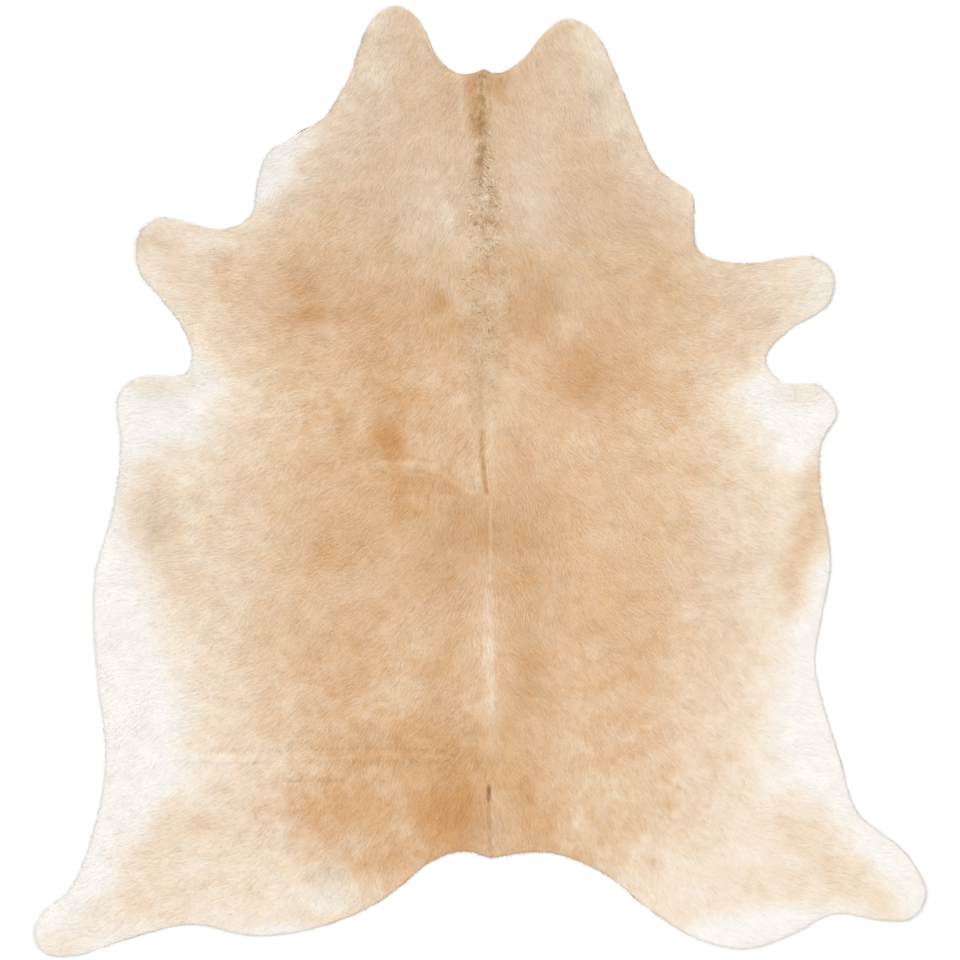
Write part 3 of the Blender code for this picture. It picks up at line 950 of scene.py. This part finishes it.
def bent_points(root, lie, length, width, rise, end_rise):
    """The seven points of each bent lock: a triangle at the root, one halfway, and the tip."""
    ahead = with_third(lie)
    side = with_third(np.stack([lie[:, 1], -lie[:, 0]], axis=1))
    length, width, rise, end_rise = (values[:, None] for values in (length, width, rise, end_rise))
    middle = root + (ahead * length * 0.5 + UPWARD * rise) * MM
    tip = root + (ahead * length + UPWARD * end_rise) * MM
    rings = []
    for centre, scale in ((root, 1.0), (middle, HALFWAY_WIDTH)):
        half = side * width * 0.5 * scale * MM
        thick = UPWARD * width * THICKNESS * scale * MM
        rings += [centre - half - thick, centre + thick, centre + half - thick]
    points = np.stack(rings + [tip], axis=1)
    points[..., 2] = np.maximum(points[..., 2], CLEAR_OF_FLOOR * MM)
    top, left, right = UPWARD + 0.0 * side, UPWARD - ROUNDNESS * side, UPWARD + ROUNDNESS * side
    return points, unit(np.stack([left, top, right, left, top, right, top], axis=1))


print("a bent lock has", len(BENT[0]), "faces on", len(BENT[1]), "points")

# %% [markdown]
# At the rim the locks start a few millimetres in and droop over the cut edge, wherever the hair lies
# outwards. Where it lies inwards, at the top of the neck, the cut edge stays bare, as it does on a real
# hide. The rim's points come in no order, so they are first strung into one line, each to the nearest one
# that is left, and the line is divided into even steps.

# %% Hair over the trimmed edge
EDGE_SPACING = 1.5  # mm along the edge between locks
EDGE_INSET = (1.0, 6.0)  # mm from the rim to a lock's root, least and most
EDGE_REACH = (0.5, 4.0)  # mm that it reaches past the rim
EDGE_LENGTH = (4.0, 15.0)
EDGE_WIDTH = (1.1, 1.9)
EDGE_RISE = (0.5, 1.3)  # mm, the middle's height above the root's
EDGE_DROOP = (-0.9, 0.5)  # mm, the tip's height above the root's
EDGE_SUNK = 0.2  # mm that the root is below the leather's surface
EDGE_TONE, EDGE_TONE_STRAY = 0.55, 0.2
TURNED_OUT = 0.35  # how strongly the locks turn out of the hide at the rim
LEAST_OUTWARD = 0.35  # share of the length that goes outwards, when the length is worked out
BARE_BELOW = 0.12  # share below which the rim stays bare, as the hair lies along it or inwards
TIP_CLEAR = 0.4  # mm that the tips stay above the floor


def edge_line():
    """Points at even steps along the rim, with the ways out of the hide."""
    left = list(range(1, len(rim_points)))
    order = [0]
    while left:
        gaps = np.linalg.norm(rim_points[left, :2] - rim_points[order[-1], :2], axis=1)
        order.append(left.pop(int(gaps.argmin())))
    order.append(0)
    steps = np.linalg.norm(np.diff(rim_points[order, :2], axis=0), axis=1)
    along = np.concatenate([[0.0], np.cumsum(steps)])
    marks = np.arange(0.0, along[-1], EDGE_SPACING * MM)
    edge, away = (
        np.stack([np.interp(marks, along, column) for column in values[order].T], axis=1)
        for values in (rim_points, rim_outward)
    )
    return edge, unit(away)


def hang_edge_hair():
    """Locks that hang over the trimmed edge."""
    edge, away = edge_line()
    count = len(edge)
    inset = random.uniform(*EDGE_INSET, count)
    start = edge[:, :2] - away * inset[:, None] * MM
    places = on_hide(start)
    lie = lie_at(places)
    outwards = (lie * away).sum(1)
    lie = unit(lie + away * TURNED_OUT)
    height = heights_at(leather_tree, start)
    reach = random.uniform(*EDGE_REACH, count)
    length = np.clip((inset + reach) / np.maximum((lie * away).sum(1), LEAST_OUTWARD), *EDGE_LENGTH)
    kept = (outwards > BARE_BELOW) & np.isfinite(height)
    root = with_third(start, (height - EDGE_SUNK * MM)[:, None])
    rise = random.uniform(*EDGE_RISE, count)
    end_rise = np.maximum(random.uniform(*EDGE_DROOP, count), TIP_CLEAR - height / MM)
    width = random.uniform(*EDGE_WIDTH, count)
    parts = (root, lie, length, width, rise, end_rise)
    points, normals = bent_points(*(values[kept] for values in parts))
    tone = np.clip(random.normal(EDGE_TONE, EDGE_TONE_STRAY, kept.sum()), 0.0, 1.0)
    return joined_locks("coat_edge", BENT, points, normals, coat_at(places[kept]), tone)


coat_edge = hang_edge_hair()
print("edge hair:", len(coat_edge.data.polygons), "triangles")

# %% [markdown]
# Along the neck the hair of both sides meets in the mane: rougher, half standing, with brown tufts among
# the tan. Towards the withers it widens into a strip of short curls that turn every way. The table gives
# the strip's edges, how dense its locks are, how many of them are dark and how far they turn. Its last
# column is how much a lock's depth of colour strays from its neighbours', so that the curls read as light
# and dark grains: partly their own uneven tone, partly painted highlight and painted shade of the curls.
# The pale ones are warmer too.

# %% The mane
# up, its left and right edge (out), density, share of dark locks, stray in degrees, grain of the depth
MANE_SECTIONS = (
    (1822, -36, 10, 1.0, 0.08, 25, 0.10),
    (1700, -36, 12, 1.0, 0.10, 30, 0.12),
    (1610, -38, 18, 1.0, 0.10, 35, 0.12),
    (1540, -46, 42, 1.0, 0.13, 55, 0.17),
    (1430, -46, 42, 1.0, 0.10, 60, 0.14),
    (1330, -66, 62, 1.0, 0.05, 70, 0.11),
    (1130, -66, 56, 0.9, 0.04, 70, 0.11),
    (1030, -40, 26, 0.3, 0.02, 40, 0.09),
)
MANE_PITCH, MANE_SCATTER = 3.0, 0.5  # mm between roots, and the share of it that they stray
MANE_DARK = (0.35, 0.75)  # how dark the dark locks are
GRAIN_SIZE = 7.0  # mm
GRAIN_SEED, CLUMP_SEED = 71, 72
GRAIN_STRENGTH, GRAIN_STRAY = 2.2, 0.25  # how much the grains vary with the place, and from lock to lock
# Painted highlight: every curl is painted paler for the light it catches.
PAINTED_CURL_HIGHLIGHT = -0.08  # curls catch more light than lying hair, and look paler
PALE_WARMTH = 0.6  # how much less grey the pale tufts are
CLUMPING = 4.0  # how strongly the dark locks stand together
CURL_LENGTH = (9.0, 18.0)  # mm, least and most
CURL_WIDTH = (1.8, 3.4)
CURL_RISE = (0.5, 1.1)  # mm, the middle's height above the root's
CURL_DROOP = (-0.6, 0.5)  # mm, the tip's height above the middle's
CURL_SUNK = 0.3  # mm that the root is below the leather's surface
CURL_TONE, CURL_TONE_STRAY, CURL_TONES = 0.5, 0.25, (-0.2, 1.2)  # middle, stray, least and most


def mane_at(up):
    """The columns of the table of sections at each height."""
    rows = np.array(sorted(MANE_SECTIONS), float)
    return [np.interp(up, rows[:, 0], column) for column in rows.T[1:]]


def make_mane():
    """The rough strip of hair along the neck and the withers."""
    table = np.array(MANE_SECTIONS, float)
    low, high = (table[:, 1].min(), table[:, 0].min()), (table[:, 2].max(), table[:, 0].max())
    places = staggered(low, high, MANE_PITCH, MANE_SCATTER, random)
    left, right, density, *_ = mane_at(places[:, 1])
    from_middle = np.abs(places[:, 0] * 2.0 - left - right) / (right - left)
    fullness = density * np.clip(1.0 - from_middle**3, 0.0, 1.0)
    height = heights_at(leather_tree, in_frame(places))
    kept = (random.uniform(0.0, 1.0, len(places)) < fullness) & np.isfinite(height)
    places, height, from_middle = places[kept], height[kept], from_middle[kept]
    *_, dark_share, stray, grain = mane_at(places[:, 1])
    count = len(places)
    lie = pointing(np.radians(random.normal(0.0, 1.0, count) * stray))
    root = with_third(in_frame(places), (height - CURL_SUNK * MM)[:, None])
    length = random.uniform(*CURL_LENGTH, count)
    rise = random.uniform(*CURL_RISE, count)
    end_rise = rise + random.uniform(*CURL_DROOP, count)
    width = random.uniform(*CURL_WIDTH, count)
    points, normals = bent_points(root, lie, length, width, rise, end_rise)
    coat = coat_at(places + lie * length[:, None] * SEEN_AT)
    # Grains of depth: partly uneven tone, partly painted highlight and painted shade of the curls; the paler
    # ones are made warmer.
    grains = GRAIN_STRENGTH * soft_noise(places, GRAIN_SIZE, GRAIN_SEED)
    grains += random.normal(0.0, GRAIN_STRAY, count)
    coat[:, 0] += grain * grains + PAINTED_CURL_HIGHLIGHT
    coat[:, 1] += PALE_WARMTH * np.minimum(grains, 0.0)
    tufts = np.zeros(count)
    for place, reach, share in FLECKS:
        tufts = np.maximum(tufts, share * spot(places, place, reach))
    clumped = np.clip(1.0 + CLUMPING * soft_noise(places, GRAIN_SIZE, CLUMP_SEED), 0.0, None)
    is_dark = random.uniform(0.0, 1.0, count) < dark_share * (1.0 - from_middle) * clumped + tufts
    coat[:, 2] = np.where(is_dark, random.uniform(*MANE_DARK, count), coat[:, 2])
    tone = np.clip(random.normal(CURL_TONE, CURL_TONE_STRAY, count), *CURL_TONES)
    return joined_locks("mane", BENT, points, normals, coat, tone)


mane = make_mane()
print("mane:", len(mane.data.polygons), "triangles")

# %% [markdown]
# Materials are written as sums. One small class wraps a socket of a node, and the usual signs on it add
# Math nodes, so that a mask reads like a formula. Colours are mixed by Mix nodes, because a Math node
# would turn them grey. Every other node comes from one method.

# %% Shader sums
class Wire:
    """A node's output. The signs +, - and * add Math nodes to its material."""

    def __init__(self, tree, socket):
        self.tree = tree
        self.socket = socket

    def node(self, kind, settings, inputs, output=0):
        """A node of any kind: its settings first, then values or wires for its inputs."""
        made = self.tree.nodes.new(kind)
        for name, setting in settings.items():
            if name == "stops":
                fill_ramp(made.color_ramp, setting)
            else:
                setattr(made, name, setting)
        for name, given in inputs.items():
            if isinstance(given, Wire):
                self.tree.links.new(given.socket, made.inputs[name])
            else:
                made.inputs[name].default_value = given
        return Wire(self.tree, made.outputs[output])

    def math(self, operation, first, second):
        """A Math node on two wires or numbers."""
        return self.node("ShaderNodeMath", {"operation": operation}, {0: first, 1: second})

    def __add__(self, other):
        return self.math("ADD", self, other)

    __radd__ = __add__

    def __sub__(self, other):
        return self.math("SUBTRACT", self, other)

    def __rsub__(self, other):
        return self.math("SUBTRACT", other, self)

    def __mul__(self, other):
        return self.math("MULTIPLY", self, other)

    __rmul__ = __mul__

    def mixed(self, other, share, blend="MIX"):
        """This colour mixed with another by a share, on the Mix node's sockets for colours."""
        settings = {"data_type": "RGBA", "blend_type": blend, "clamp_factor": True}
        return self.node("ShaderNodeMix", settings, {0: share, 6: self, 7: other}, output=2)

    def channels(self):
        """The three parts of a colour, as wires."""
        split = self.node("ShaderNodeSeparateColor", {}, {"Color": self})
        outputs = split.socket.node.outputs
        return [Wire(self.tree, outputs[number]) for number in range(3)]

    def noise(self, size, detail=2.0):
        """Noise with bumps of about size metres at the places on this wire."""
        return self.node("ShaderNodeTexNoise", {}, {"Vector": self, "Scale": 1.0 / size, "Detail": detail})


def fill_ramp(ramp, stops):
    """Sets a colour ramp's stops, each a position and a colour."""
    while len(ramp.elements) < len(stops):
        ramp.elements.new(1.0)
    for element, (position, colour) in zip(ramp.elements, stops):
        element.position = position
        element.color = colour


print("a wire can give", [name for name in vars(Wire) if not name.startswith("__")])

# %% [markdown]
# Every material starts from its Principled shader and ends in the same way. What varies over the surface
# feeds the colour, the roughness and a bump. What is even all over is set on the shader's own sockets.
# Colours are written as a screen shows them, and turned into a shader's linear numbers.

# %% Colours and surfaces
def seen_as(red, green, blue):
    """A colour as a screen shows it, from 0 to 255, in the linear numbers that a shader takes."""
    shares = np.array((red, green, blue)) / 255.0
    linear = np.where(shares <= 0.04045, shares / 12.92, ((shares + 0.055) / 1.055) ** 2.4)
    return (*linear.tolist(), 1.0)


def begin(material):
    """Turns a material's nodes on, and gives its shader and a wire of the object's own places."""
    material.use_nodes = True
    tree = material.node_tree
    places = tree.nodes.new("ShaderNodeTexCoord").outputs["Object"]
    return tree.nodes["Principled BSDF"], Wire(tree, places)


def finish_surface(shader, colour, roughness, height, bump, gloss):
    """Joins what varies to a shader, with a bump of (strength, mm), and sets what is even all over."""
    strength, distance = bump
    inputs = {"Strength": strength, "Distance": distance * MM, "Height": height}
    normal = height.node("ShaderNodeBump", {}, inputs)
    for name, wire in (("Base Color", colour), ("Roughness", roughness), ("Normal", normal)):
        wire.tree.links.new(wire.socket, shader.inputs[name])
    for name, value in gloss.items():
        shader.inputs[name].default_value = value


def attribute(wire, name):
    """A colour attribute of the mesh, as a wire."""
    return wire.node("ShaderNodeAttribute", {"attribute_name": name}, {}, "Color")


print("white hair is", [round(x, 3) for x in seen_as(250, 247, 241)])

# %% [markdown]
# The coat's colour runs along one scale, from white over cream and tan to caramel, so a ramp turns the
# depth of colour into a colour. Fine noise and each lock's own tone move it a little up and down that
# scale, as single hairs differ. Greyer places are drawn towards a grey tan, which is yellower in the mane,
# and dark flecks towards a dull brown. A lock is a little darker at its root, which its neighbours shade.

# %% The coat's colour
COAT_SCALE = (
    (0.00, (255, 254, 252)),
    (0.12, (252, 241, 226)),
    (0.27, (248, 231, 208)),
    (0.45, (240, 215, 186)),
    (0.62, (231, 195, 156)),
    (0.78, (221, 178, 133)),
    (0.92, (214, 162, 106)),
    (1.20, (200, 141, 78)),
)
GREY_TAN = seen_as(206, 184, 160)
MANE_TAN = seen_as(204, 184, 142)
WARM_TAN = seen_as(214, 156, 88)
DARK_HAIR = seen_as(148, 104, 62)
GREY_PULL, WARM_PULL = 0.35, 0.45  # how far a greyness of 1, or of -1, draws the colour there
FINE_GRAINS = ((0.011, 0.08), (0.0035, 0.05))  # metres, and how much each moves the depth of colour
HAIRS_ACROSS, HAIRS_ALONG, HAIRS_APART = 8.0, 0.8, 90.0  # noise across a lock, along it, and by its tone
BY_LOCK, BY_HAIR = 0.12, 0.9  # how much the tone differs between locks, and between hairs of a lock
ROOT_SHADE = 0.93  # of the light that the tip gets
HAIR_BUMP = (1.0, 0.4)  # strength, mm
HAIR_GLOSS = {"Specular IOR Level": 0.2, "Sheen Weight": 0.05, "Sheen Roughness": 0.45}


def coat_colour(places, tone_swing, tone, grey_hair=GREY_TAN):
    """The coat's colour from the mesh's coat attribute, with a tone from 0 to 1 of its own."""
    depth, grey, dark = attribute(places, "coat").channels()
    coarse, fine = ((places.noise(size) - 0.5) * strength for size, strength in FINE_GRAINS)
    depth = depth + (coarse + fine) + (tone - 0.5) * tone_swing
    stops = [(position / DEEPEST, seen_as(*colour)) for position, colour in COAT_SCALE]
    colour = depth.node("ShaderNodeValToRGB", {"stops": stops}, {"Fac": depth * (1.0 / DEEPEST)})
    colour = colour.mixed(grey_hair, grey * GREY_PULL).mixed(WARM_TAN, grey * -WARM_PULL)
    return colour.mixed(DARK_HAIR, dark)


def paint_locks(name, grey_hair):
    """A material for locks."""
    material = bpy.data.materials.new(name)
    shader, places = begin(material)
    tone, along, across = attribute(places, "lock").channels()
    strand = across.node(
        "ShaderNodeCombineXYZ",
        {},
        {"X": across * HAIRS_ACROSS, "Y": along * HAIRS_ALONG, "Z": tone * HAIRS_APART},
    )
    hairs = strand.noise(1.0)
    own_tone = 0.5 + (tone - 0.5) * BY_LOCK + (hairs - 0.5) * BY_HAIR
    shade = ROOT_SHADE + (1.0 - ROOT_SHADE) * along
    shades = shade.node("ShaderNodeCombineColor", {}, {"Red": shade, "Green": shade, "Blue": shade})
    colour = coat_colour(places, 1.0, own_tone, grey_hair).mixed(shades, 1.0, "MULTIPLY")
    finish_surface(shader, colour, 0.62 + 0.16 * hairs, hairs, HAIR_BUMP, HAIR_GLOSS)
    return material


lying_hair = paint_locks("lying_hair", GREY_TAN)
for piece in (*coat_pieces, coat_edge):
    piece.data.materials.append(lying_hair)
mane.data.materials.append(paint_locks("mane_hair", MANE_TAN))

# %% [markdown]
# Between the locks the skin shows the feet of the finest hairs: the same colours, a little duller, with a
# grain that follows the hair. The flesh side is pale suede, buffed to a short nap, with faint mottling and
# a few darker veins.

# %% The leather's two sides
SUEDE = seen_as(214, 203, 188)
SUEDE_DEEP = seen_as(186, 170, 150)
SUEDE_SHOWS = 0.10  # share of the leather's own colour that shows between the feet of the hairs
STREAK_TURNS = range(0, 180, 30)  # degrees, the turns at which streaks are laid
STREAK_SIZE = (0.0005, 0.009, 1.0)  # metres across and along a streak
STREAK_FOCUS = 8.0  # how quickly streaks fade where the hair turns away from them
SKIN_SWING = 0.7  # how much the streaks move the depth of colour
SKIN_BUMP, SKIN_GLOSS = (1.0, 0.5), {"Specular IOR Level": 0.2}
CLOUD_SIZE, CLOUD_DETAIL, NAP_SIZE = 0.09, 4.0, 0.0015  # sizes in metres
VEINS = {"Scale": 7.0, "Detail": 3.0}  # how many run across a metre, and how finely they fork
VEIN_TINT, NAP_TINT = 0.12, 0.4  # how far they darken the suede
SUEDE_BUMP, SUEDE_GLOSS = (0.6, 0.6), {"Specular IOR Level": 0.15}


def hair_streaks(places):
    """Fine streaks around 0 that follow the hair, blended from streaks at fixed turns."""
    out, up, _ = attribute(places, "lie").channels()
    out, up = out * 2.0 - 1.0, up * 2.0 - 1.0
    streaks = 0.0
    for degrees in STREAK_TURNS:
        turn = np.radians(degrees)
        agreement = out * float(np.sin(turn)) - up * float(np.cos(turn))
        share = agreement.math("POWER", agreement * agreement, STREAK_FOCUS)
        turned = places.node(
            "ShaderNodeMapping",
            {"vector_type": "TEXTURE"},
            {"Vector": places, "Rotation": (0.0, 0.0, turn), "Scale": STREAK_SIZE},
        )
        streaks = streaks + share * (turned.noise(1.0) - 0.5)
    return streaks


def paint_upper_side():
    """The skin under the coat."""
    shader, places = begin(bpy.data.materials["hair_roots"])
    grain = hair_streaks(places) + 0.5
    colour = coat_colour(places, SKIN_SWING, grain).mixed(SUEDE_DEEP, SUEDE_SHOWS)
    finish_surface(shader, colour, 0.7 + 0.15 * grain, grain, SKIN_BUMP, SKIN_GLOSS)


def paint_flesh_side():
    """Pale suede."""
    shader, places = begin(bpy.data.materials["flesh_side"])
    cloudy = places.noise(CLOUD_SIZE, CLOUD_DETAIL)
    nap = places.noise(NAP_SIZE)
    veins = places.node(
        "ShaderNodeTexNoise", {"noise_type": "RIDGED_MULTIFRACTAL"}, {"Vector": places, **VEINS}
    )
    stops = ((0.3, SUEDE_DEEP), (0.7, SUEDE))
    colour = cloudy.node("ShaderNodeValToRGB", {"stops": stops}, {"Fac": cloudy})
    colour = colour.mixed(SUEDE_DEEP, veins * VEIN_TINT + (nap - 0.5) * NAP_TINT)
    height = nap * 0.5 + veins * 0.5
    finish_surface(shader, colour, 0.82 + 0.12 * nap, height, SUEDE_BUMP, SUEDE_GLOSS)


paint_upper_side()
paint_flesh_side()
print("materials:", [material.name for material in skin.data.materials])

# %% [markdown]
# Now each piece is tied to the frame. The hide has one body, and nothing on it moves. The leather stands
# for the CAD solid, which is hidden.

for piece in (skin, *coat_pieces, coat_edge, mane):
    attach(piece, "root")
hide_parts("hide")

# %% [markdown]
# The photo looks straight down on the hide, on white, in soft light from everywhere. So the floor is plain
# and nearly white, a bright sky fills every shadow, and one large lamp from the upper left gives the hair
# just enough shade to read. Colours stay as they are: the view transform adds no look of its own.

# %% Floor, light and camera
FLOOR_SIDE = 400.0  # metres, so that it reaches the horizon in low views
FLOOR_DROP = 0.3 * MM  # clear of the flesh side
FLOOR_COLOUR = (0.93, 0.93, 0.925, 1.0)
FLOOR_ROUGHNESS = 0.9
SKY_COLOUR = (1.0, 1.0, 1.0, 1.0)
SKY_STRENGTH = 0.812
LAMP_TILT = (-28.0, -32.0)  # degrees, from straight down, to shine from behind and from the left
LAMP_SPREAD = 50.0  # degrees of sky that the lamp fills, which makes its shadows soft
LAMP_STRENGTH = 1.25
CAMERA_UP, CAMERA_HEIGHT = 0.0017, 4.5  # metres, up the hide from its middle, and above the floor
PHOTO_WIDTH = 2.2173  # metres across the photo at the floor
SENSOR_WIDTH = 36.0  # mm

bpy.ops.mesh.primitive_plane_add(size=FLOOR_SIDE, location=(0.0, 0.0, -FLOOR_DROP))
floor = bpy.context.object
floor.name = "floor"
floor_material = bpy.data.materials.new("pale_floor")
floor_shader = begin(floor_material)[0]
floor_shader.inputs["Base Color"].default_value = FLOOR_COLOUR
floor_shader.inputs["Roughness"].default_value = FLOOR_ROUGHNESS
floor.data.materials.append(floor_material)

sky = bpy.data.worlds.new("soft_sky")
bpy.context.scene.world = sky
sky.use_nodes = True
background = sky.node_tree.nodes["Background"]
background.inputs["Color"].default_value = SKY_COLOUR
background.inputs["Strength"].default_value = SKY_STRENGTH

lamp = bpy.data.objects.new("large_lamp", bpy.data.lights.new("large_lamp", "SUN"))
lamp.data.angle = np.radians(LAMP_SPREAD)
lamp.data.energy = LAMP_STRENGTH
lamp.rotation_euler = (*np.radians(LAMP_TILT), 0.0)
bpy.context.scene.collection.objects.link(lamp)

camera = bpy.data.objects.new("camera", bpy.data.cameras.new("camera"))
camera.data.sensor_width = SENSOR_WIDTH
camera.data.lens = SENSOR_WIDTH * CAMERA_HEIGHT / PHOTO_WIDTH
camera.location = (0.0, CAMERA_UP, CAMERA_HEIGHT)
bpy.context.scene.collection.objects.link(camera)
bpy.context.scene.camera = camera
bpy.context.scene.view_settings.view_transform = "Standard"
print("lens:", round(camera.data.lens, 1), "mm")

# %% [markdown]
